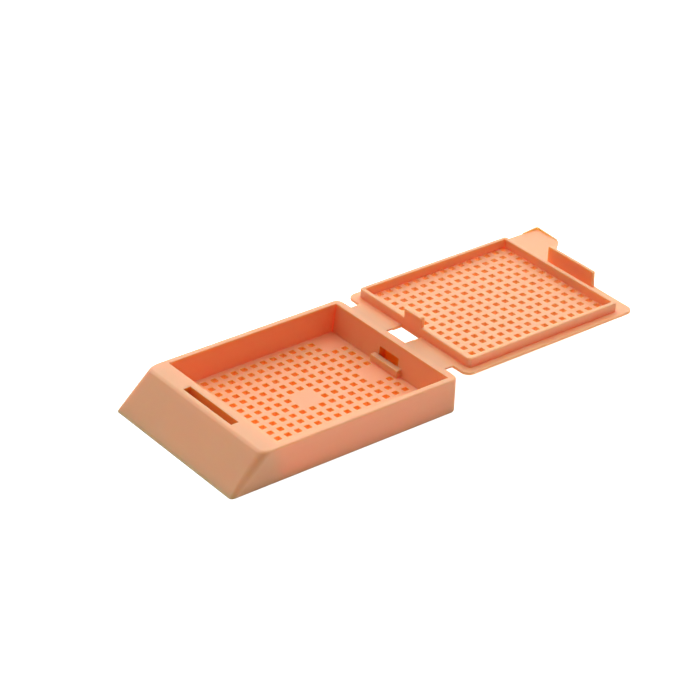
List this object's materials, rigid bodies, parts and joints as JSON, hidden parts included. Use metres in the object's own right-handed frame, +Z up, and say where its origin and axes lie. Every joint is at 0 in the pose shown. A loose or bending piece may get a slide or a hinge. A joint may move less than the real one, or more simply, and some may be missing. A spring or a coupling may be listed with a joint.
{
  "type": "tissue cassette",
  "caption": "Moulded tissue cassette: shallow perforated tray with a sloping writing face and a perforated snap lid on a living hinge, shown open.",
  "frame": {"origin": "on the tray's flat underside, below the middle of its perforated floor", "axes": "+X from the writing slope to the hinge and the open lid, +Y across the width, +Z up"},
  "size_m": [0.0814, 0.0286, 0.0088],
  "materials": {
    "acetal": "matte moulded acetal, peach"
  },
  "bodies": {
    "tray": {"tray": "acetal"},
    "lid": {"lid": "acetal"}
  },
  "joints": [
    {"name": "lid_hinge", "type": "hinge", "parent": "tray", "child": "lid", "pos_m": [0.01738, 0, 0.00562], "axis": [0, -1, 0], "range_deg": [0, 180]}
  ]
}
